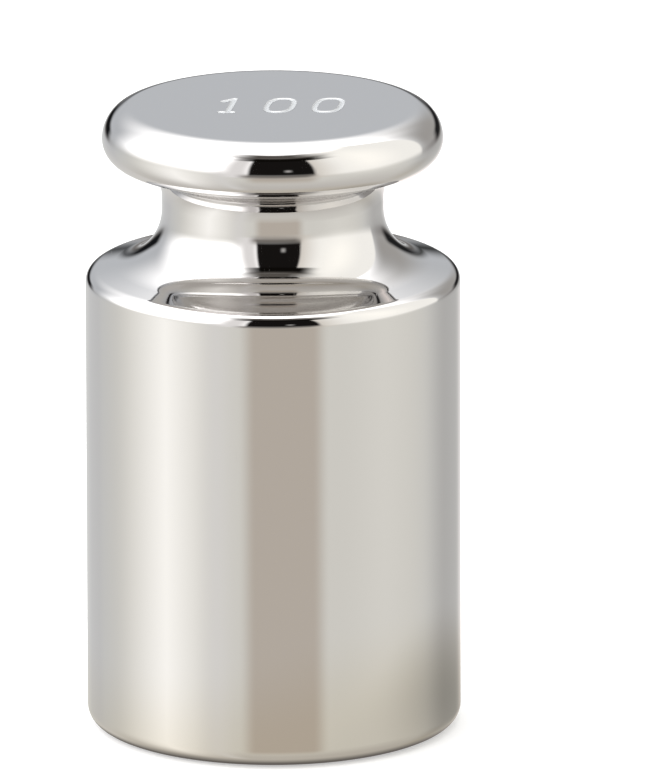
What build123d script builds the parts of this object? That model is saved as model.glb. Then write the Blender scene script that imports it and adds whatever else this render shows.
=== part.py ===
"""A 100 g cylindrical weight with a knob, turned from one bar of steel.

The weight is one solid of revolution about the Z axis, standing on its flat base at z = 0.
Going up its outline there are five stretches, and each one sets the next:

    base edge    a rounded edge between the flat base and the wall
    wall         the straight cylinder, which drops into the round well of a weight box
    shoulder     a small rounded rim, a narrow sloping ring and a wide hollow curve that rises
                 into the neck
    neck         a short straight stem, the groove that tweezers or a lifting fork hold
    knob         a hollow quarter curve, a nearly level underside, a rounded rim, a fuller curve
                 above it and a flat top

Lengths are in millimetres.
"""

import os
from math import cos, radians, sin

from build123d import *

# The three diameters that a chart of cylindrical weights gives for 100 g
body_diameter = 22.0
knob_diameter = 20.0
neck_diameter = 13.0

# The height with its flat base on the table
total_height = 37.2

# The height of the neck's lower end, where the shoulder's hollow curve becomes the straight stem
stem_foot = 31.1

# Roundings of the body
base_edge_radius = 1.0  # between the base and the wall
rim_radius = 0.8  # where the wall turns into the shoulder
shoulder_fall = 12.0  # degrees that the narrow ring falls from the hollow curve out to the rim
neck_fillet_radius = 3.5  # hollow curve between the shoulder and the neck

# Roundings of the knob, from the neck up to the flat top
throat_radius = 2.0  # hollow curve between the neck and the knob's underside
underside_slope = 2.0  # degrees that the underside climbs from level as it leaves the throat
under_rim_radius = 1.48  # below the widest line of the knob
over_rim_radius = 2.0  # above the widest line
over_rim_turn = 45.0  # degrees the curve above the widest line turns before the tighter one
top_edge_radius = 1.6  # tighter curve that ends level, at the flat top

body_r = body_diameter / 2
knob_r = knob_diameter / 2
neck_r = neck_diameter / 2

# The curve above the widest line: two arcs that meet with the same slope
turn = radians(over_rim_turn)
knob_crown = over_rim_radius * sin(turn) + top_edge_radius * (1 - sin(turn))
widest_z = total_height - knob_crown
over_rim_centre = (knob_r - over_rim_radius, widest_z)
meet = (
    over_rim_centre[0] + over_rim_radius * cos(turn),
    over_rim_centre[1] + over_rim_radius * sin(turn),
)
top_edge_centre = (meet[0] - top_edge_radius * cos(turn), meet[1] - top_edge_radius * sin(turn))
top_flat_r = top_edge_centre[0]

# The curve below the widest line turns until its surface has the underside's slope
slope = radians(underside_slope)
under_rim_centre = (knob_r - under_rim_radius, widest_z)
under_rim_end = (
    under_rim_centre[0] + under_rim_radius * sin(slope),
    under_rim_centre[1] - under_rim_radius * cos(slope),
)

# The straight slope runs from there to where the throat's hollow curve takes over
throat_start_r = neck_r + throat_radius * (1 - sin(slope))
run = (under_rim_end[0] - throat_start_r) / cos(slope)
throat_start = (throat_start_r, under_rim_end[1] - run * sin(slope))
throat_centre = (neck_r + throat_radius, throat_start[1] - throat_radius * cos(slope))

# The shoulder: the hollow curve and the rim's curve both end at the slope of the narrow ring
fall = radians(shoulder_fall)
hollow_centre = (neck_r + neck_fillet_radius, stem_foot)
ring_top = (
    hollow_centre[0] - neck_fillet_radius * sin(fall),
    hollow_centre[1] - neck_fillet_radius * cos(fall),
)
ring_foot_r = body_r - rim_radius + rim_radius * sin(fall)
ring_width = ring_foot_r - ring_top[0]
ring_foot = (ring_foot_r, ring_top[1] - ring_width * sin(fall) / cos(fall))
rim_centre = (body_r - rim_radius, ring_foot[1] - rim_radius * cos(fall))

with BuildPart() as weight:
    with BuildSketch(Plane.XZ):
        with BuildLine():
            # Flat base and its rounded edge
            Line((0, 0), (body_r - base_edge_radius, 0))
            CenterArc((body_r - base_edge_radius, base_edge_radius), base_edge_radius, -90, 90)
            # Straight wall, rim and narrow sloping ring
            Line((body_r, base_edge_radius), (body_r, rim_centre[1]))
            CenterArc(rim_centre, rim_radius, 0, 90 - shoulder_fall)
            Line(ring_foot, ring_top)
            # Wide hollow curve into the neck, then the stem
            CenterArc(hollow_centre, neck_fillet_radius, -90 - shoulder_fall, shoulder_fall - 90)
            Line((neck_r, stem_foot), (neck_r, throat_centre[1]))
            # Underside of the knob
            CenterArc(throat_centre, throat_radius, 180, -(90 - underside_slope))
            Line(throat_start, under_rim_end)
            CenterArc(under_rim_centre, under_rim_radius, -(90 - underside_slope),
                      90 - underside_slope)
            # Upper side of the knob and the flat top
            CenterArc(over_rim_centre, over_rim_radius, 0, over_rim_turn)
            CenterArc(top_edge_centre, top_edge_radius, over_rim_turn, 90 - over_rim_turn)
            Line((top_flat_r, total_height), (0, total_height))
            Line((0, total_height), (0, 0))
        make_face()
    revolve(axis=Axis.Z)

weight.part.label = "weight"

print("volume", round(weight.part.volume / 1000, 3), "cm3")
print("density for 100 g", round(100 / (weight.part.volume / 1000), 3), "g/cm3")
print("wall", base_edge_radius, "to", round(rim_centre[1], 3))
print("ring width", round(ring_width, 3), "heights", round(ring_foot[1], 3), round(ring_top[1], 3))
print("neck", stem_foot, "to", round(throat_centre[1], 3))
print("underside", round(throat_start[1], 3), "to", round(under_rim_end[1], 3), "run", round(run, 3))
print("widest", round(widest_z, 3), "top flat radius", round(top_flat_r, 3))

os.makedirs("parts", exist_ok=True)
export_step(weight.part, "parts/weight.step")
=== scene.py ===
# %% [markdown]
# # A 100 gram balance weight, mirror polished
#
# The real object is one piece of stainless steel, turned on a lathe and then polished on a
# buffing wheel until it shines like chrome. It has no joints, no seams and no coating. Three
# things make it look real, and this lesson takes them in turn: a smooth turned surface, three
# digits cut into its top, and a studio for the steel to reflect.

# %% The fixed frame
import math

import bpy
import numpy as np
from mathutils import Matrix, Vector


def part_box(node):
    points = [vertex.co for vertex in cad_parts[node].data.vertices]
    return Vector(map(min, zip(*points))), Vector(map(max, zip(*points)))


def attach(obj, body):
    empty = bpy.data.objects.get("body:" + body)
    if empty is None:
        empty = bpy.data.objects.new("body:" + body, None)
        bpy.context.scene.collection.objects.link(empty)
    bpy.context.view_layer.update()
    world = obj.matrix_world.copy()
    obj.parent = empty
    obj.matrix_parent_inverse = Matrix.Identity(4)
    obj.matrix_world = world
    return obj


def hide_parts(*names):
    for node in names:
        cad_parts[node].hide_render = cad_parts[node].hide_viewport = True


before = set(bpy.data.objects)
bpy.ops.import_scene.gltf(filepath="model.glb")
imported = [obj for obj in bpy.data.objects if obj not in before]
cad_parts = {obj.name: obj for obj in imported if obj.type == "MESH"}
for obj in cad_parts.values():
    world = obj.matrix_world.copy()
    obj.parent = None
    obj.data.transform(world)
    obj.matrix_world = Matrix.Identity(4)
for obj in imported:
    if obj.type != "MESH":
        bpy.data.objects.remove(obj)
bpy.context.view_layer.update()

# %% [markdown]
# ## The camera
#
# A small shiny thing is shot from far away with a long lens, so that its sides stay parallel
# and the camera's own dark reflection stays narrow. The camera stands 1.2 m away and looks
# down 15 degrees. It aims a little to the right of the weight and above its middle, which
# puts the weight left of the centre of the picture. An empty that the camera tracks would do
# the same; working the turn out from two points keeps it in one place.

# %% Camera
IMAGE_HEIGHT = 783  # the picture's long side, in pixels
SENSOR = 0.036  # the long side of the sensor, in metres
PIXELS_PER_RADIAN = 20425.5  # how large the weight is drawn
DISTANCE = 1.2  # from the camera to the middle of the weight, in metres
AIM_RIGHT, AIM_UP = 0.0033, 0.001244  # how far past that middle it aims, in metres
ROLL = math.radians(-0.13)  # the camera is hardly ever quite level
look_down = math.radians(15.298)
middle = Vector((0, 0, 0.01859))
outward = Vector((0, -math.cos(look_down), math.sin(look_down)))
upward = Vector((0, math.sin(look_down), math.cos(look_down)))

camera_data = bpy.data.cameras.new("camera")
camera_data.sensor_width = SENSOR * 1000
camera_data.lens = PIXELS_PER_RADIAN * SENSOR * 1000 / IMAGE_HEIGHT
camera = bpy.data.objects.new("camera", camera_data)
bpy.context.scene.collection.objects.link(camera)
camera.location = middle + outward * DISTANCE
aim = middle + Vector((1, 0, 0)) * AIM_RIGHT + upward * AIM_UP
turned = (aim - camera.location).to_track_quat("-Z", "Y").to_matrix()
camera.rotation_euler = (turned @ Matrix.Rotation(ROLL, 3, "Z")).to_euler()
bpy.context.scene.camera = camera
bpy.context.scene.view_settings.view_transform = "Standard"
print("lens, mm:", round(camera_data.lens, 1))

# %% [markdown]
# ## The outline
#
# Everything that a lathe makes is an outline carried round an axis. The outline could be
# drawn as a curve and given a Screw modifier, but a mirror shows every kink in a surface, so
# here it is worked out exactly: straight stretches and circular arcs that meet with the same
# slope. The largest sizes come from the solid model, and the rest are the lathe's own radii.

# %% Sizes in millimetres
low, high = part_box("weight")
BODY_R = round((high.x - low.x) * 500, 2)
HEIGHT = round((high.z - low.z) * 1000, 2)
KNOB_R = 10.0
NECK_R = 6.5
HOLLOW_Z = 31.1  # height where the hollow curve of the shoulder takes over from the stem
FALL = 12.0  # degrees that the shoulder's cone falls towards the rim
BASE_EDGE, RIM, NECK_HOLLOW = 1.0, 0.8, 3.5  # radii of the body's roundings
THROAT, UNDER_RIM, OVER_RIM, TOP_EDGE = 2.0, 1.48, 2.0, 1.6  # radii of the knob's
SLOPE, TURN = 2.0, 45.0  # degrees: the knob's underside, and where its two upper arcs meet
INSET = 0.05  # a straight stretch has its outer rows this far inside its ends
print("body radius", BODY_R, "height", HEIGHT)


# %% Arcs and straights
def arc(centre, radius, start, end, rows):
    """Points on a circle: centre + radius * (cos t, sin t), t running evenly between two angles."""
    t = np.radians(np.linspace(start, end, rows))
    return np.column_stack((centre[0] + radius * np.cos(t), centre[1] + radius * np.sin(t)))


def straight(a, b, rows):
    """Rows on a line from a to b: two at INSET inside its ends, and the rest evenly between.

    The two close rows keep the soft shading of the arcs from running out over the flat.
    """
    a, b = np.array(a, float), np.array(b, float)
    length = np.hypot(*(b - a))
    t = np.linspace(INSET / length, 1 - INSET / length, rows)[:, None]
    return a + (b - a) * t


# %% The outline from the base up to the flat top
slope, turn = math.radians(SLOPE), math.radians(TURN)
crown = OVER_RIM * math.sin(turn) + TOP_EDGE * (1 - math.sin(turn))
widest = HEIGHT - crown
flat_r = KNOB_R - (OVER_RIM - TOP_EDGE) * (1 - math.cos(turn)) - TOP_EDGE
under_end = (
    KNOB_R - UNDER_RIM + UNDER_RIM * math.sin(slope),
    widest - UNDER_RIM * math.cos(slope),
)
throat_r = NECK_R + THROAT * (1 - math.sin(slope))
throat_z = under_end[1] - (under_end[0] - throat_r) * math.tan(slope)
throat_centre = (NECK_R + THROAT, throat_z - THROAT * math.cos(slope))
fall = math.radians(FALL)
hollow_centre = np.array((NECK_R + NECK_HOLLOW, HOLLOW_Z))
cone_top = hollow_centre - NECK_HOLLOW * np.array((math.sin(fall), math.cos(fall)))
cone_end_r = BODY_R - RIM + RIM * math.sin(fall)
cone_end = np.array((cone_end_r, cone_top[1] - (cone_end_r - cone_top[0]) * math.tan(fall)))
rim_z = cone_end[1] - RIM * math.cos(fall)

outline = np.concatenate([
    straight((0, 0), (BODY_R - BASE_EDGE, 0), 2)[1:],
    arc((BODY_R - BASE_EDGE, BASE_EDGE), BASE_EDGE, -90, 0, 13),
    straight((BODY_R, BASE_EDGE), (BODY_R, rim_z), 8),
    arc((BODY_R - RIM, rim_z), RIM, 0, 90 - FALL, 13),
    straight(cone_end, cone_top, 2),
    arc(hollow_centre, NECK_HOLLOW, -90 - FALL, -180, 23),
    straight((NECK_R, hollow_centre[1]), (NECK_R, throat_centre[1]), 2),
    arc(throat_centre, THROAT, 180, 90 + SLOPE, 10),
    straight((throat_r, throat_z), under_end, 2),
    arc((KNOB_R - UNDER_RIM, widest), UNDER_RIM, SLOPE - 90, 0, 12),
    arc((KNOB_R - OVER_RIM, widest), OVER_RIM, 0, TURN, 9)[1:],
    arc((flat_r, HEIGHT - TOP_EDGE), TOP_EDGE, TURN, 90, 9)[1:],
    [(flat_r - INSET, HEIGHT)],
])
along = np.concatenate(([0], np.cumsum(np.hypot(*np.diff(outline, axis=0).T)))) + outline[0, 0]
print("outline rows:", len(outline), "length, mm:", round(along[-1], 2))

# %% [markdown]
# ## The digits
#
# The value is cut into the flat top with a fine round cutter, and the floor of each groove is
# left frosted. A Boolean would leave long thin faces that spoil the mirror round them, and a
# bump alone looks painted on from above. So the middle of the top is a fine grid, and its
# points go down near the strokes: the distance to the nearest stroke gives the depth.

# %% Strokes
STROKE = 0.21  # half the width of a groove, mm
DEPTH = 0.07  # how deep a groove is in its middle, mm
DIGIT = 3.5  # height of a digit, mm
LEAN = math.tan(math.radians(8))  # the figures lean forward
BOXY = 0.72  # power that pulls an ellipse out towards a rounded box; 1 leaves it alone
NOUGHT = 1.92  # width of a nought, mm
DIGITS_Y = 0.15  # the row of digits sits a little behind the axis, mm


def lines(*points):
    """Pairs of neighbouring points: the start and the end of each run of a stroke."""
    p = np.array(points, float)
    return np.hstack((p[:-1], p[1:]))


def nought(width):
    """A nought: x = w/2 * cos t, y = h/2 * sin t, with the size of each raised to BOXY."""
    t = np.linspace(0, 2 * math.pi, 61)
    c, s = np.cos(t), np.sin(t)
    x = np.sign(c) * np.abs(c) ** BOXY * (width / 2 - STROKE)
    y = np.sign(s) * np.abs(s) ** BOXY * (DIGIT / 2 - STROKE)
    return lines(*np.column_stack((x, y)))


one = np.vstack((
    lines((-0.6, 0.95), (0.0, DIGIT / 2 - STROKE), (0.0, STROKE - DIGIT / 2)),
    lines((-0.42, STROKE - DIGIT / 2), (0.3, STROKE - DIGIT / 2)),
))
figures = [(one, -2.42), (nought(NOUGHT), 0.45), (nought(NOUGHT), 3.27)]
strokes = np.vstack([run + np.array((x, DIGITS_Y, x, DIGITS_Y)) for run, x in figures])
strokes[:, 0] += (strokes[:, 1] - DIGITS_Y) * LEAN
strokes[:, 2] += (strokes[:, 3] - DIGITS_Y) * LEAN
print("stroke runs:", len(strokes))


# %% Distance from points to strokes
def distance(points, runs):
    """Shortest way from each point to the runs: drop the point onto each run, held to its ends."""
    a, b = runs[None, :, :2], runs[None, :, 2:]
    p = points[:, None, :]
    t = np.clip(((p - a) * (b - a)).sum(2) / ((b - a) ** 2).sum(2), 0, 1)
    return np.linalg.norm(p - (a + (b - a) * t[..., None]), axis=2).min(1)


def smooth(t):
    """A step with soft ends: 3 t^2 - 2 t^3, with t held between 0 and 1."""
    t = np.clip(t, 0, 1)
    return t * t * (3 - 2 * t)


# %% [markdown]
# ## One closed skin
#
# The outline is carried round the axis in 580 steps. The last ring meets the border of the
# digits' grid, which has 580 points too, so every point has one partner and the skin closes
# without a seam or a pole in the mirror of the top.

# %% Grid for the middle of the top
CELLS_X, CELLS_Y = 200, 90
STEPS = 2 * (CELLS_X + CELLS_Y)
MARGIN = 0.35  # from the strokes' middle lines to the border of the grid, mm
STEEP = 1.25  # how much sooner than at its middle line a groove is at full depth
xs, ys = strokes[:, ::2], strokes[:, 1::2]
grid_x = np.linspace(xs.min() - MARGIN, xs.max() + MARGIN, CELLS_X + 1)
grid_y = np.linspace(ys.min() - MARGIN, ys.max() + MARGIN, CELLS_Y + 1)
gx, gy = (g.ravel() for g in np.meshgrid(grid_x, grid_y))
groove = 1 - distance(np.column_stack((gx, gy)), strokes) / STROKE
grid = np.column_stack((gx, gy, HEIGHT - DEPTH * smooth(groove * STEEP)))
number = np.arange(len(grid)).reshape(CELLS_Y + 1, CELLS_X + 1)
border = np.concatenate((
    number[0, :-1], number[:-1, -1], number[-1, :0:-1], number[:0:-1, 0],
))
print("grid cell, mm:", round(grid_x[1] - grid_x[0], 3), round(grid_y[1] - grid_y[0], 3))

# %% Rings round the axis
angle = math.radians(-90 - 180 * CELLS_X / STEPS) + np.arange(STEPS) * 2 * math.pi / STEPS
ring = np.column_stack((np.cos(angle), np.sin(angle)))
rows = np.zeros((len(outline), STEPS, 3))
rows[:, :, :2] = outline[:, 0, None, None] * ring
rows[:, :, 2] = outline[:, 1, None]
blend = np.array((0.3, 0.6, 0.85))[:, None, None]  # how far three more rings are to the grid
between = rows[-1] * (1 - blend) + grid[border] * blend
rings = np.concatenate((rows, between)).reshape(-1, 3)
radius_along = along[-1] + flat_r - np.hypot(*np.vstack((between.reshape(-1, 3), grid)).T[:2])
print("rings:", len(rows) + len(between))

# %% Faces
count = len(rows) + len(between)
index = np.arange(count * STEPS).reshape(count, STEPS)
index = np.vstack((index, border + count * STEPS))
after = np.roll(index, -1, axis=1)
sides = np.stack((index[:-1], after[:-1], after[1:], index[1:]), axis=2).reshape(-1, 4)
cells = np.stack((number[:-1, :-1], number[:-1, 1:], number[1:, 1:], number[1:, :-1]), axis=2)
cells = cells.reshape(-1, 4) + count * STEPS
points = np.vstack((rings, grid, [(0, 0, 0)]))
pole = len(points) - 1
base = np.column_stack((np.full(STEPS, pole), after[0], index[0]))

# %% The piece
mesh = bpy.data.meshes.new("turned_weight")
mesh.from_pydata((points / 1000).tolist(), [], np.vstack((sides, cells)).tolist() + base.tolist())
mesh.validate()
mesh.polygons.foreach_set("use_smooth", np.ones(len(mesh.polygons), bool))
weight = bpy.data.objects.new("turned_weight", mesh)
bpy.context.scene.collection.objects.link(weight)
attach(weight, "root")
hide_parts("weight")
mesh.calc_loop_triangles()
print("triangles:", len(mesh.loop_triangles))

# %% Two measures kept on the surface
track = np.concatenate((np.repeat(along, STEPS), radius_along, [0.0]))
FROST_EDGE = 2.2  # how much sooner than at its middle line a groove is fully frosted
frost = np.zeros(len(points))
frost[len(rings):-1] = smooth(groove * FROST_EDGE)
for name, values in (("track", track), ("frost", frost)):
    mesh.attributes.new(name, "FLOAT", "POINT").data.foreach_set("value", values.astype(np.float32))
print("track runs to", round(float(track.max()), 2), "mm")


# %% [markdown]
# ## Colours and nodes
#
# Colours are written as screen hex codes and turned into amounts of light by one function.
# Nodes are added by one small function too, which sets values and makes links in one call.

# %% Helpers for materials
def linear(code):
    """sRGB hex to light: v / 12.92 for dark values, ((v + 0.055) / 1.055) ^ 2.4 for the others."""
    v = np.array([int(code[i:i + 2], 16) for i in (1, 3, 5)]) / 255
    v = np.where(v <= 0.04045, v / 12.92, ((v + 0.055) / 1.055) ** 2.4)
    return (float(v[0]), float(v[1]), float(v[2]), 1.0)


def add(tree, kind, inputs=None, **settings):
    """Adds one node: settings are its properties, inputs are values or nodes to link from."""
    made = tree.nodes.new("ShaderNode" + kind)
    for name, value in settings.items():
        setattr(made, name, value)
    for socket, value in (inputs or {}).items():
        if isinstance(value, bpy.types.Node):
            value = value.outputs[0]
        if isinstance(value, bpy.types.NodeSocket):
            tree.links.new(value, made.inputs[socket])
        else:
            made.inputs[socket].default_value = value
    return made


def fade(tree, value, near, far):
    """A soft step: 1 where the value is under near, 0 where it is over far."""
    return add(tree, "MapRange", {
        "Value": value, "From Min": near, "From Max": far, "To Min": 1.0, "To Max": 0.0,
    }, interpolation_type="SMOOTHSTEP")


# %% [markdown]
# ## Mirror-polished stainless steel
#
# Stainless steel has a nearly neutral, very slightly warm reflection. The buffing wheel takes
# the turning marks down until they are too fine to see one by one, but they still smear each
# highlight a little across them. That is drawn as a very shallow bump along the outline, four
# times as coarse as the real marks so that the picture can hold it. The wheel also leaves the
# surface slightly uneven over a few millimetres, which lets the edge of a reflection wander.
# The grooves of the digits are frosted: rough, and lighter because they gather light from
# everywhere above.

# %% Steel
STEEL = linear("#DAD8D7")
FROSTED = linear("#C8CACC")
MARKS = 0.12  # mm between buffing marks, drawn coarser than the real 0.03
UNEVEN, DULL, GRAIN = 7, 4, 0.09  # mm: the polish's waves, its duller spots, the frost's pits
WAVE_DEPTH, MARK_DEPTH, PIT_DEPTH = 2e-6, 1.5e-7, 1e-5  # metres
steel = bpy.data.materials.new("mirror_polished_stainless_steel")
steel.use_nodes = True
tree = steel.node_tree
shader = tree.nodes["Principled BSDF"]
shader.inputs["Metallic"].default_value = 1.0

place = add(tree, "TexCoord").outputs["Object"]
track_node = add(tree, "Attribute", attribute_name="track").outputs["Fac"]
frost_node = add(tree, "Attribute", attribute_name="frost").outputs["Fac"]

# %% Marks, unevenness and wear
marks = add(tree, "TexNoise", {"W": track_node, "Scale": 1 / MARKS, "Detail": 1.0},
            noise_dimensions="1D")
uneven = add(tree, "TexNoise", {"Vector": place, "Scale": 1000 / UNEVEN, "Detail": 1.5})
scratch_place = add(tree, "Mapping", {"Vector": place, "Scale": (9000, 300, 700),
                                      "Rotation": (0.5, 0.3, 0.4)})
scratches = add(tree, "TexNoise", {"Vector": scratch_place, "Scale": 1.0, "Detail": 2.0})
fine = add(tree, "MapRange", {"Value": scratches, "From Min": 0.66, "From Max": 0.74,
                              "To Max": 0.1})
dull = add(tree, "TexNoise", {"Vector": place, "Scale": 1000 / DULL, "Detail": 4.0})
polish = add(tree, "MapRange", {"Value": dull, "To Min": 0.02, "To Max": 0.055})
polish = add(tree, "Math", {0: polish, 1: fine}, operation="ADD")
grain = add(tree, "TexNoise", {"Vector": place, "Scale": 1000 / GRAIN, "Detail": 2.0})
matt = add(tree, "MapRange", {"Value": grain, "To Min": 0.6, "To Max": 0.8})

# %% Into the shader
rough = add(tree, "Mix", {0: frost_node, 2: polish, 3: matt})
tint = add(tree, "Mix", {0: frost_node, 6: STEEL, 7: FROSTED}, data_type="RGBA")
tree.links.new(rough.outputs[0], shader.inputs["Roughness"])
tree.links.new(tint.outputs[2], shader.inputs["Base Color"])
wave = add(tree, "Bump", {"Strength": 1.0, "Distance": WAVE_DEPTH, "Height": uneven})
lines_bump = add(tree, "Bump", {"Strength": 1.0, "Distance": MARK_DEPTH, "Height": marks,
                                "Normal": wave})
frosting = add(tree, "Math", {0: grain, 1: frost_node}, operation="MULTIPLY")
pitted = add(tree, "Bump", {"Strength": 1.0, "Distance": PIT_DEPTH, "Height": frosting,
                            "Normal": lines_bump})
tree.links.new(pitted.outputs[0], shader.inputs["Normal"])
mesh.materials.append(steel)
print("steel nodes:", len(tree.nodes))

# %% [markdown]
# ## The studio
#
# A mirror has no look of its own: it shows the room. This room is a white tent on a table,
# with a bright lamp on the left, a dimmer and warmer one on the right, dark corners at the
# back, and a slit at the front for the camera. The slit is the black bar in every curve of
# the steel, and the small spot in it is the camera. Cards on stands could be placed round the
# weight, but painting the room by direction keeps every patch exactly where the steel needs
# it, and costs no noise. The plain white that no patch covers is the left lamp and the tent's
# roof. Each patch is a name, a colour, a direction (degrees round from the camera, positive
# to its right, and degrees up), its half widths both ways, and how soft its edges are. Later
# patches lie over earlier ones.

# %% Patches
LEVEL = 1.45  # light of a white wall of the room
LAMP = 1.8  # how much brighter the lamps are than a white wall
table = [
    ("table", "#CBCAC4", (0, -47.5), (181, 51), (1, 9.5)),
    ("table near the foot", "#B7B4AF", (0, -63), (181, 32), (1, 24.7)),
    ("lamp glow on the table", "#FEFDF9", (-70, -23), (15.5, 28.5), (33, 21.4)),
    ("table before the left lamp", "#CFCECC", (-35.5, -28.5), (4.5, 36.5), (12.1, 10.2)),
    ("table left and behind", "#C4C2BE", (-145.5, -36), (12, 41.5), (4.6, 7)),
    ("table right and behind", "#B0ACA3", (127.5, -32.5), (12, 14), (16.8, 5.2)),
    ("table straight behind", "#FDF4EF", (171.5, -24.5), (12, 11.5), (9.5, 3.7)),
    ("table before the slit", "#ADA59B", (6.5, -15.5), (23, 10.5), (5.7, 14.6)),
]
walls = [
    ("back wall", "#ACAFB3", (177.5, 11.5), (64.5, 29), (24.1, 28.2)),
    ("foot of the back wall", "#1F2121", (178, 4.5), (15, 3), (14.9, 3.6)),
    ("right rear grey", "#969491", (141.5, 11.5), (23, 27), (14.6, 28.1)),
    ("right lamp", "#EEEDE8", (74, 31.5), (45.5, 37), (1.9, 6.6)),
    ("right lamp's middle", "#FEFCF5", (72.5, 28), (15.5, 28.5), (17.5, 24.3)),
    ("right lamp's near edge", "#C6C0B7", (26.5, 24.5), (9.5, 36.5), (16.3, 3)),
    ("left lamp's near edge", "#D9D7D6", (-24.5, 25.5), (10.5, 34), (8.5, 2.2)),
    ("far edge of the table", "#767371", (174.5, -4), (39.5, 3.5), (20.6, 3)),
    ("left rear dark", "#131416", (-159.5, -0.5), (14, 5), (6, 3)),
    ("right rear dark", "#1C1C1D", (159.5, -1), (15, 5), (6, 3)),
    ("slit foot", "#77726D", (3, -4), (24.5, 5), (6, 6.2)),
    ("slit", "#141211", (6, 27.5), (22.5, 29), (1.8, 6.2)),
    ("slit flare", "#0C0A08", (9.5, 53.5), (37.5, 6), (14.6, 1.8)),
    ("dim ceiling over the slit", "#504C48", (2.5, 64), (45.5, 7), (28.2, 3.5)),
    ("camera", "#9C9A98", (10.5, 14.5), (2, 3.5), (2, 3)),
]

# %% Directions in degrees
world = bpy.data.worlds.new("studio")
bpy.context.scene.world = world
world.use_nodes = True
tree = world.node_tree
tree.nodes.clear()
way = add(tree, "SeparateXYZ", {0: add(tree, "TexCoord").outputs["Generated"]})
front = add(tree, "Math", {0: way.outputs[1], 1: -1.0}, operation="MULTIPLY")
bearing = add(tree, "Math", {0: way.outputs[0], 1: front}, operation="ARCTAN2")
bearing = add(tree, "Math", {0: bearing}, operation="DEGREES")
rise = add(tree, "Math", {0: way.outputs[2]}, operation="ARCSINE")
rise = add(tree, "Math", {0: rise}, operation="DEGREES")

# %% Painting them
paint = add(tree, "Mix", {0: 1.0, 7: (LAMP, LAMP, LAMP, 1.0)}, data_type="RGBA")
for name, colour, (round_to, up), (half_round, half_up), (soft_round, soft_up) in table + walls:
    aside = add(tree, "Math", {0: bearing, 1: float(round_to)}, operation="SUBTRACT")
    aside = add(tree, "Math", {0: aside, 1: 180.0, 2: -180.0}, operation="WRAP")
    above = add(tree, "Math", {0: rise, 1: float(up)}, operation="SUBTRACT")
    masks = []
    for off, half, soft in ((aside, half_round, soft_round), (above, half_up, soft_up)):
        off = add(tree, "Math", {0: off}, operation="ABSOLUTE")
        masks.append(fade(tree, off, float(half - soft), float(half + soft)))
    mask = add(tree, "Math", {0: masks[0], 1: masks[1]}, operation="MULTIPLY")
    paint = add(tree, "Mix", {0: mask, 6: paint.outputs[2], 7: linear(colour)}, data_type="RGBA")
print("patches:", len(table + walls), "world nodes:", len(tree.nodes))

# %% White behind the weight
room = add(tree, "Background", {"Color": paint.outputs[2], "Strength": LEVEL})
plain = add(tree, "Background", {"Color": linear("#FFFFFF"), "Strength": 1.0})
seen = add(tree, "LightPath").outputs["Is Camera Ray"]
mixed = add(tree, "MixShader", {0: seen, 1: room, 2: plain})
add(tree, "OutputWorld", {0: mixed})

# %% [markdown]
# ## The floor
#
# The weight stands on a white table top that runs out of sight. To the camera it is white
# paper: part of its light is its own, so that it stays white while the weight's soft shadow
# still falls on it. To the steel it is clear, and lets the table painted in the room through,
# with three painted shades laid over it that a painted room cannot know about: a dark ring of
# painted contact shadow where the weight nearly touches the paper, a faint warm painted shade
# on the paper near its foot, and its painted shadow on the right, away from the brighter lamp.

# %% Floor
HALF_SIZE = 3.0  # metres from the middle of the floor to its sides
BELOW = -0.00002  # the floor is this far under the base, in metres, so that the two never touch
floor_mesh = bpy.data.meshes.new("floor")
corners = [(x * HALF_SIZE, y * HALF_SIZE, BELOW) for x, y in ((-1, -1), (1, -1), (1, 1), (-1, 1))]
floor_mesh.from_pydata(corners, [], [(0, 1, 2, 3)])
floor = bpy.data.objects.new("floor", floor_mesh)
bpy.context.scene.collection.objects.link(floor)
print("floor:", round(HALF_SIZE * 2, 1), "m square")

# %% [markdown]
# Each shade is a place on the floor, the distances from it where the shade starts to fade and
# where it is gone, and a colour. All the distances are in metres.

# %% Shades that only the steel sees
# The first shade is a painted contact shadow: a dark ring where the weight nearly touches the
# paper.
CONTACT_SHADOW = ((0, 0, 0), 0.0104, 0.0112, "#6E6964")
FOOT = ((0.006, -0.004, 0), 0.012, 0.034, "#F9F5EC")
SHADOW = ((0.016, 0.002, 0), 0.0, 0.022, "#CFCCC4")
paper = bpy.data.materials.new("white_table_paper")
paper.use_nodes = True
tree = paper.node_tree
tree.nodes.clear()
spot = add(tree, "VectorMath", {0: add(tree, "TexCoord").outputs["Object"], 1: (1, 1, 0)},
           operation="MULTIPLY")


def shade_mask(centre, near, far):
    """How strong a shade is: a soft step on the distance, |p - centre|, across the floor."""
    away = add(tree, "VectorMath", {0: spot, 1: centre}, operation="DISTANCE")
    return fade(tree, away.outputs["Value"], near, far)


tone = add(tree, "Mix", {0: shade_mask(*FOOT[:3]), 6: linear("#FFFFFF"), 7: linear(FOOT[3])},
           data_type="RGBA")
tone = add(tree, "Mix", {0: shade_mask(*SHADOW[:3]), 6: tone.outputs[2], 7: linear(SHADOW[3])},
           data_type="RGBA")
clear = add(tree, "BsdfTransparent", {"Color": tone.outputs[2]})
# The painted contact shadow: a dark glow that the steel sees instead of the clear floor near the
# base.
dark = add(tree, "Emission", {"Color": linear(CONTACT_SHADOW[3]), "Strength": 1.0})
below = add(tree, "MixShader", {0: shade_mask(*CONTACT_SHADOW[:3]), 1: clear, 2: dark})

# %% [markdown]
# The camera gets the paper itself: matt white, plus a glow of its own.

# %% Paper that the camera sees
PAPER = linear("#D6D6D6")
GLOW = 0.42  # strength of the paper's own light; more of it would drown the shadow
white = add(tree, "BsdfDiffuse", {"Color": PAPER})
own = add(tree, "Emission", {"Color": linear("#FFFFFF"), "Strength": GLOW})
top = add(tree, "AddShader", {0: white, 1: own})
light = add(tree, "LightPath").outputs["Is Camera Ray"]
add(tree, "OutputMaterial", {0: add(tree, "MixShader", {0: light, 1: below, 2: top})})
floor_mesh.materials.append(paper)
print("paper nodes:", len(tree.nodes))
